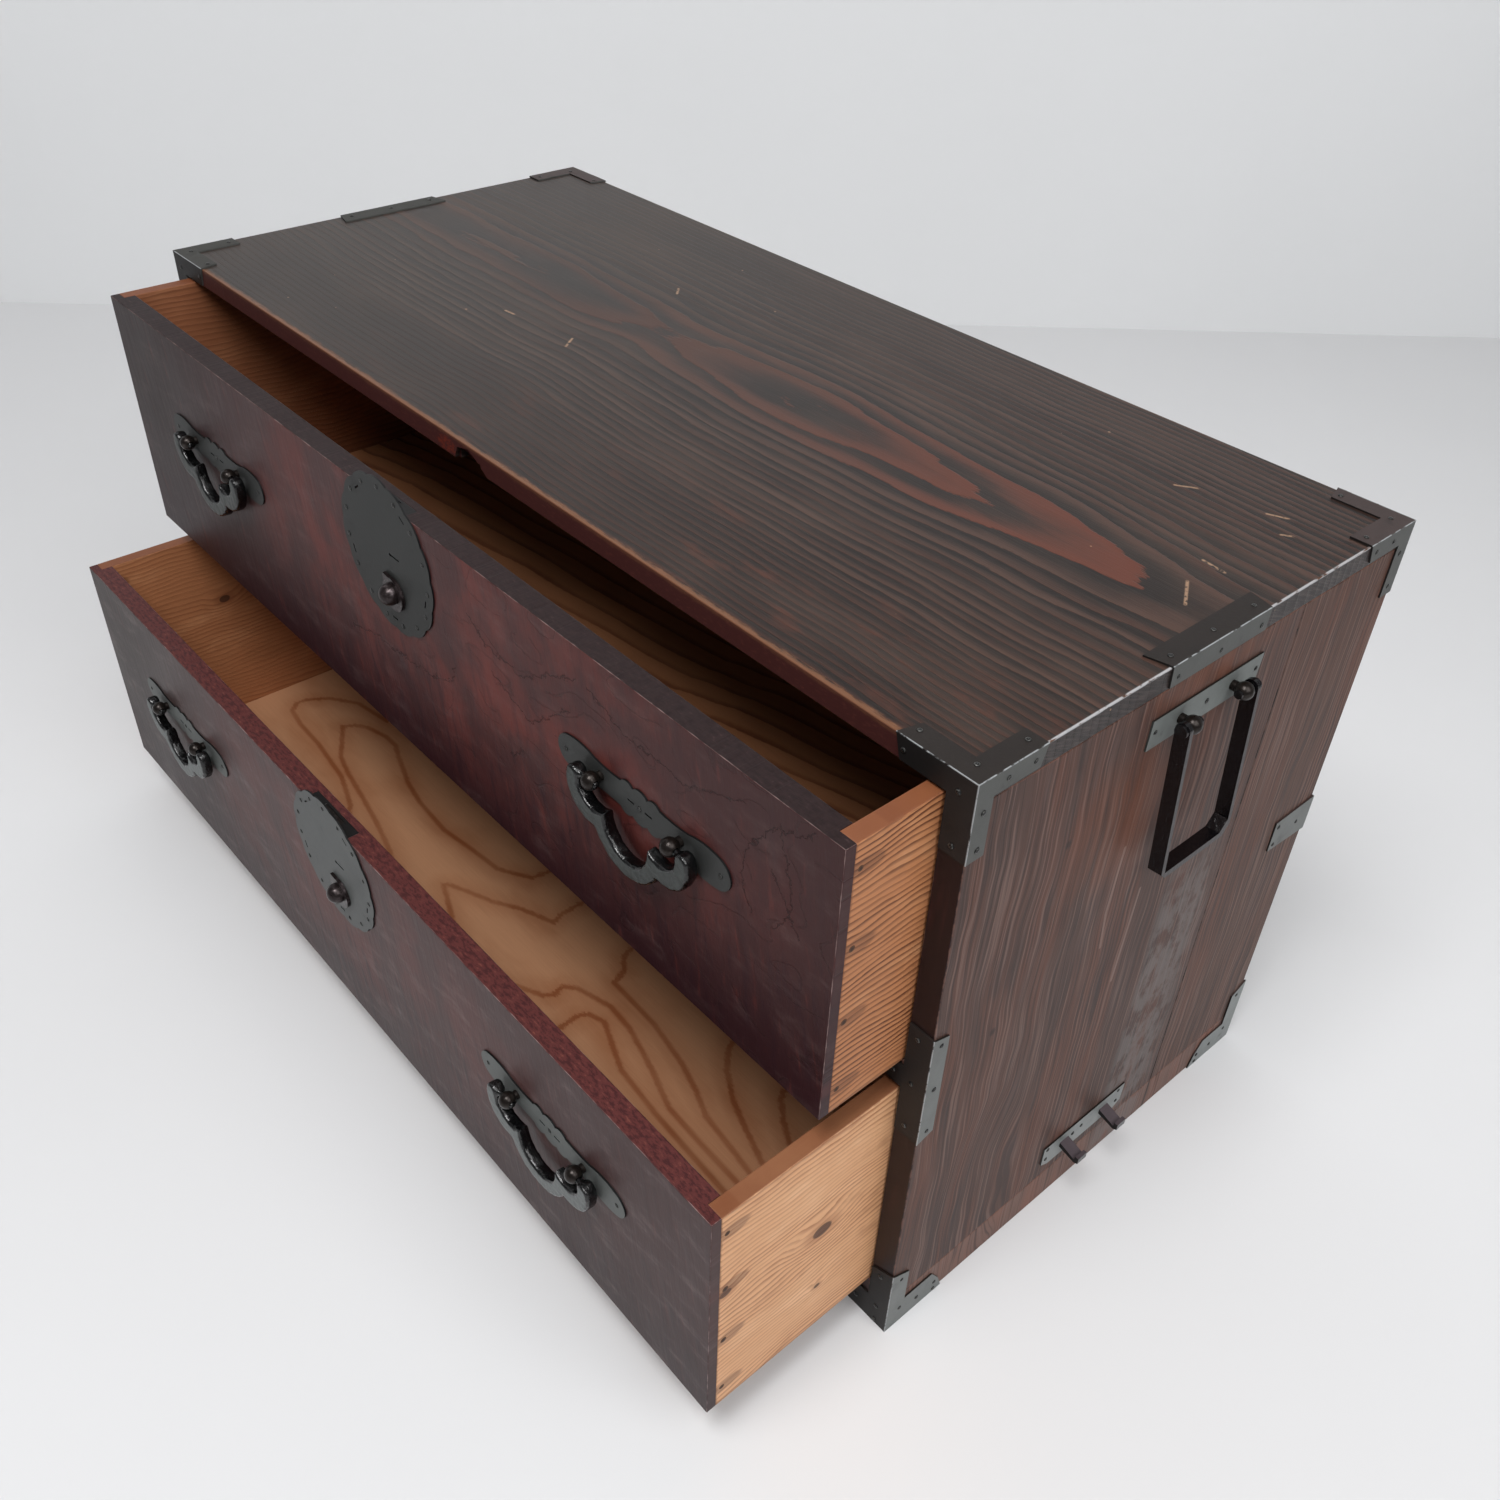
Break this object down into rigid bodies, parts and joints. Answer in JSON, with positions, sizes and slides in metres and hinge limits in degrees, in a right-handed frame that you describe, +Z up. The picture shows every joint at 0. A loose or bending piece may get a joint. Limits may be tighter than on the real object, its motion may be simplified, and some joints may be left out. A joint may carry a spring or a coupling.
{
  "type": "tansu chest",
  "caption": "Low two-drawer storage chest with iron corner straps, round lock plates, three-lobed drawer bails and strap bails on its sides.",
  "frame": {"origin": "centre of the underside of the carcass", "axes": "+X along the width to the right as seen from the front, -Y out through the drawer fronts, +Z up"},
  "size_m": [0.9224, 0.5567, 0.4811],
  "materials": {
    "stained_top": "dark stained softwood, satin",
    "stained_side": "grey-brown stained softwood, dull",
    "lacquered_rail": "dark lacquer, satin",
    "plain_pine": "bare softwood, dull",
    "lacquered_front": "plum lacquer, satin",
    "drawer_pine": "honey-coloured pine, dull",
    "iron": "forged, dark patina"
  },
  "bodies": {
    "carcass": {"top_board": "stained_top", "side_left_front_board": "stained_side", "side_left_rear_board": "stained_side", "side_right_front_board": "stained_side", "side_right_rear_board": "stained_side", "middle_rail": "lacquered_rail", "middle_shelf": "plain_pine", "base_rail_front": "lacquered_rail", "base_rail_left": "stained_side", "base_rail_right": "stained_side", "base_rail_rear": "plain_pine", "bottom_board": "plain_pine", "lower_runners": "plain_pine", "back_boards": "stained_side", "corner_iron_front_top_left": "iron", "corner_iron_front_top_right": "iron", "corner_iron_front_bottom_left": "iron", "corner_iron_front_bottom_right": "iron", "corner_iron_rear_top_left": "iron", "corner_iron_rear_top_right": "iron", "corner_iron_rear_bottom_left": "iron", "corner_iron_rear_bottom_right": "iron", "mid_straps_front": "iron", "mid_straps_rear": "iron", "top_straps": "iron", "side_handle_plates": "iron", "side_handle_posts": "iron", "hook_plates": "iron", "stacking_hooks": "iron", "carcass_nails": "iron"},
    "upper_drawer": {"upper_drawer_front": "lacquered_front", "upper_drawer_side_left": "drawer_pine", "upper_drawer_side_right": "drawer_pine", "upper_drawer_back": "drawer_pine", "upper_drawer_bottom": "drawer_pine", "upper_lock_plate": "iron", "upper_lock_case": "iron", "upper_handle_plates": "iron", "upper_handle_posts": "iron", "upper_drawer_nails": "iron"},
    "lower_drawer": {"lower_drawer_front": "lacquered_front", "lower_drawer_side_left": "drawer_pine", "lower_drawer_side_right": "drawer_pine", "lower_drawer_back": "drawer_pine", "lower_drawer_bottom": "drawer_pine", "lower_lock_plate": "iron", "lower_lock_case": "iron", "lower_handle_plates": "iron", "lower_handle_posts": "iron", "lower_drawer_nails": "iron"},
    "upper_bolt": {"upper_lock_bolt": "iron"},
    "upper_knob": {"upper_lock_knob": "iron"},
    "upper_handle_left": {"upper_bail_left": "iron"},
    "upper_handle_right": {"upper_bail_right": "iron"},
    "lower_bolt": {"lower_lock_bolt": "iron"},
    "lower_knob": {"lower_lock_knob": "iron"},
    "lower_handle_left": {"lower_bail_left": "iron"},
    "lower_handle_right": {"lower_bail_right": "iron"},
    "side_handle_left": {"side_bail_left": "iron"},
    "side_handle_right": {"side_bail_right": "iron"}
  },
  "joints": [
    {"name": "upper_drawer_slide", "type": "slide", "parent": "carcass", "child": "upper_drawer", "axis": [0, -1, 0], "range_m": [-0.065, 0.235]},
    {"name": "lower_drawer_slide", "type": "slide", "parent": "carcass", "child": "lower_drawer", "axis": [0, -1, 0], "range_m": [-0.14, 0.16]},
    {"name": "upper_bail_left_hinge", "type": "hinge", "parent": "upper_drawer", "child": "upper_handle_left", "pos_m": [-0.26, -0.2738, 0.3863], "axis": [-1, 0, 0], "range_deg": [0, 170]},
    {"name": "upper_bail_right_hinge", "type": "hinge", "parent": "upper_drawer", "child": "upper_handle_right", "pos_m": [0.268, -0.2738, 0.3863], "axis": [-1, 0, 0], "range_deg": [0, 170]},
    {"name": "upper_bolt_lift", "type": "slide", "parent": "upper_drawer", "child": "upper_bolt", "axis": [0, 0, 1], "range_m": [0, 0.006]},
    {"name": "upper_knob_turn", "type": "hinge", "parent": "upper_drawer", "child": "upper_knob", "pos_m": [0.01, -0.2654, 0.3978], "axis": [0, 1, 0], "range_deg": [0, 45]},
    {"name": "lower_bail_left_hinge", "type": "hinge", "parent": "lower_drawer", "child": "lower_handle_left", "pos_m": [-0.26, -0.3488, 0.1635], "axis": [-1, 0, 0], "range_deg": [0, 170]},
    {"name": "lower_bail_right_hinge", "type": "hinge", "parent": "lower_drawer", "child": "lower_handle_right", "pos_m": [0.268, -0.3488, 0.1635], "axis": [-1, 0, 0], "range_deg": [0, 170]},
    {"name": "lower_bolt_lift", "type": "slide", "parent": "lower_drawer", "child": "lower_bolt", "axis": [0, 0, 1], "range_m": [0, 0.006]},
    {"name": "lower_knob_turn", "type": "hinge", "parent": "lower_drawer", "child": "lower_knob", "pos_m": [0.01, -0.3404, 0.175], "axis": [0, 1, 0], "range_deg": [0, 45]},
    {"name": "side_bail_left_hinge", "type": "hinge", "parent": "carcass", "child": "side_handle_left", "pos_m": [-0.4492, -0.003, 0.437], "axis": [0, 1, 0], "range_deg": [-3, 166]},
    {"name": "side_bail_right_hinge", "type": "hinge", "parent": "carcass", "child": "side_handle_right", "pos_m": [0.4492, -0.003, 0.437], "axis": [0, -1, 0], "range_deg": [-3, 166]}
  ],
  "couplings": [
    {"joint": "upper_knob_turn", "follows": "upper_bolt_lift", "rad_per_m": 130.89},
    {"joint": "lower_knob_turn", "follows": "lower_bolt_lift", "rad_per_m": 130.89}
  ]
}
